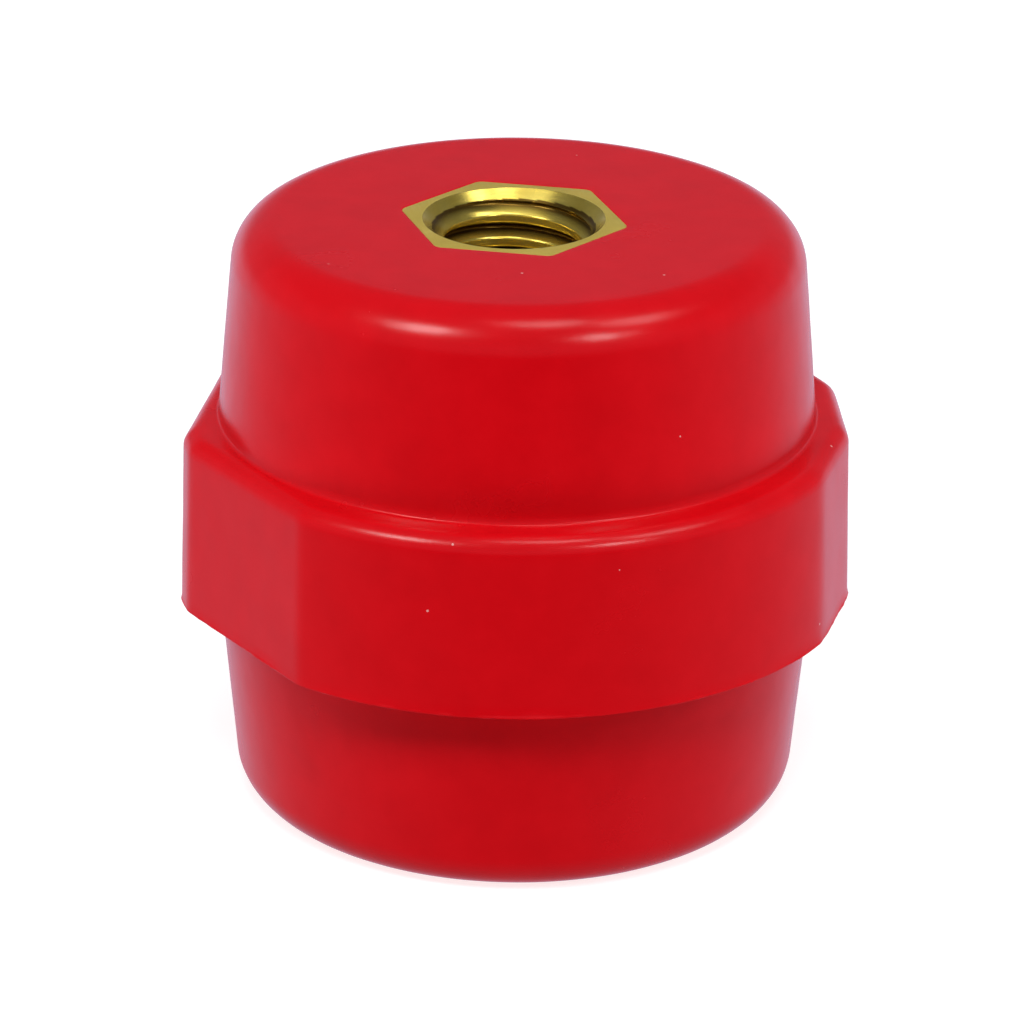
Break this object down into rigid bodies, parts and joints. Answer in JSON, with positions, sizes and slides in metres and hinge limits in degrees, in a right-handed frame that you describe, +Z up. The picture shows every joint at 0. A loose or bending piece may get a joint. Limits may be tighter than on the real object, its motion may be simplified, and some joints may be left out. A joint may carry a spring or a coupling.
{
  "type": "busbar standoff insulator",
  "caption": "Red moulded drum standoff insulator with a flatted collar and blind threaded hexagonal brass inserts set flush in its end faces.",
  "frame": {"origin": "centre of the lower end face, on the insulator's axis", "axes": "+Z up along the axis through both inserts; +Y towards the side of the collar with the two deeper flats, whose normals lie 18 degrees from +X and -X"},
  "size_m": [0.0338, 0.0338, 0.03],
  "materials": {
    "red_moulding": "glossy moulded glass-filled polyester, faintly mottled, with a soft moulded sheen",
    "brass": "machined brass, satin faced end, bright countersink and cut thread"
  },
  "bodies": {
    "root": {"moulded_body": "red_moulding", "upper_insert": "brass", "lower_insert": "brass"}
  },
  "joints": []
}
